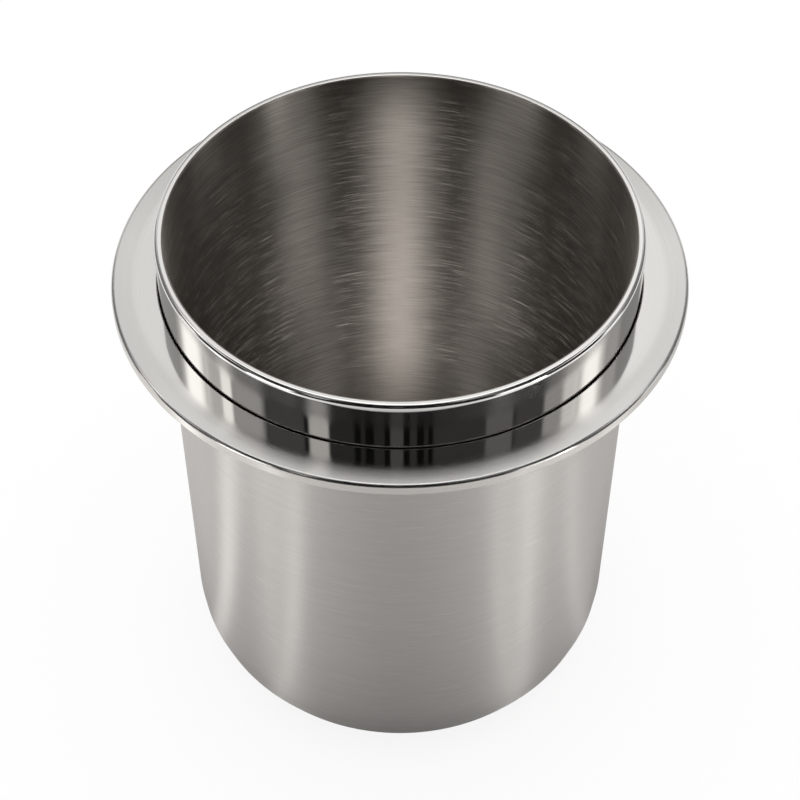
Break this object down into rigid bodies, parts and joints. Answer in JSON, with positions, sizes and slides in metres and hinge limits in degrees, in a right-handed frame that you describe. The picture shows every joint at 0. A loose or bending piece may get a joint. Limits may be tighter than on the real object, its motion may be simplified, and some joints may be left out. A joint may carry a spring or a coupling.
{
  "type": "deep drawn metal cup",
  "caption": "Deep drawn stainless steel dosing cup with a flat ring fixed below its polished neck, a lightly drafted wall and a large bottom radius.",
  "frame": {"origin": "middle of the flat base, on the surface that the cup stands on", "axes": "+Z along the cup's axis, out of its mouth; X and Y are free, because the cup is round"},
  "size_m": [0.0696, 0.0696, 0.074],
  "materials": {
    "shell_steel": "turned satin inside and out, with a polished neck and lip",
    "ring_steel": "face turned and polished"
  },
  "bodies": {
    "root": {"cup_shell": "shell_steel", "flange_ring": "ring_steel"}
  },
  "joints": []
}
